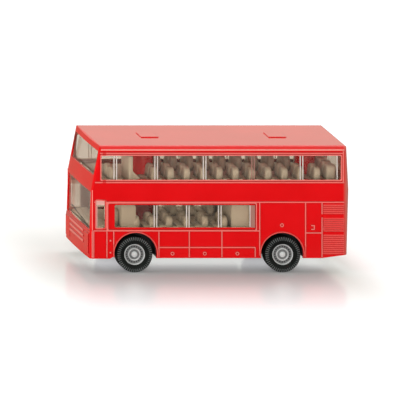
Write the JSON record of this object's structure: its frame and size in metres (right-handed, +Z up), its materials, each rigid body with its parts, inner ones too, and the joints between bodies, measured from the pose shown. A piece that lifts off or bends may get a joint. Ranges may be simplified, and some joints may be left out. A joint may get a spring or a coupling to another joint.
{
  "type": "toy double decker bus",
  "caption": "Pocket-size die-cast toy of a double-deck coach with clear windows, seats on both decks and rolling wheels.",
  "frame": {"origin": "on the ground under the middle of the toy", "axes": "+X forward, +Y to the left side of the bus, +Z up"},
  "size_m": [0.0808, 0.0274, 0.0395],
  "materials": {
    "red_enamel": "gloss",
    "clear": "gloss",
    "beige": "satin",
    "black_base": "satin",
    "steel": "bright",
    "silver": "satin",
    "tyre": "matt"
  },
  "bodies": {
    "root": {"body_shell": "red_enamel", "upper_glazing": "clear", "lower_glazing": "clear", "upper_deck": "beige", "lower_deck": "beige", "chassis": "black_base"},
    "front_wheelset": {"front_axle": "steel", "front_left_hub": "silver", "front_left_tyre": "tyre", "front_right_hub": "silver", "front_right_tyre": "tyre"},
    "rear_wheelset": {"rear_axle": "steel", "rear_left_hub": "silver", "rear_left_tyre": "tyre", "rear_right_hub": "silver", "rear_right_tyre": "tyre"}
  },
  "joints": [
    {"name": "front_axle_roll", "type": "hinge", "parent": "root", "child": "front_wheelset", "pos_m": [0.02585, 0, 0.0055], "axis": [0, 1, 0], "continuous": true},
    {"name": "rear_axle_roll", "type": "hinge", "parent": "root", "child": "rear_wheelset", "pos_m": [-0.02, 0, 0.0055], "axis": [0, 1, 0], "continuous": true}
  ]
}
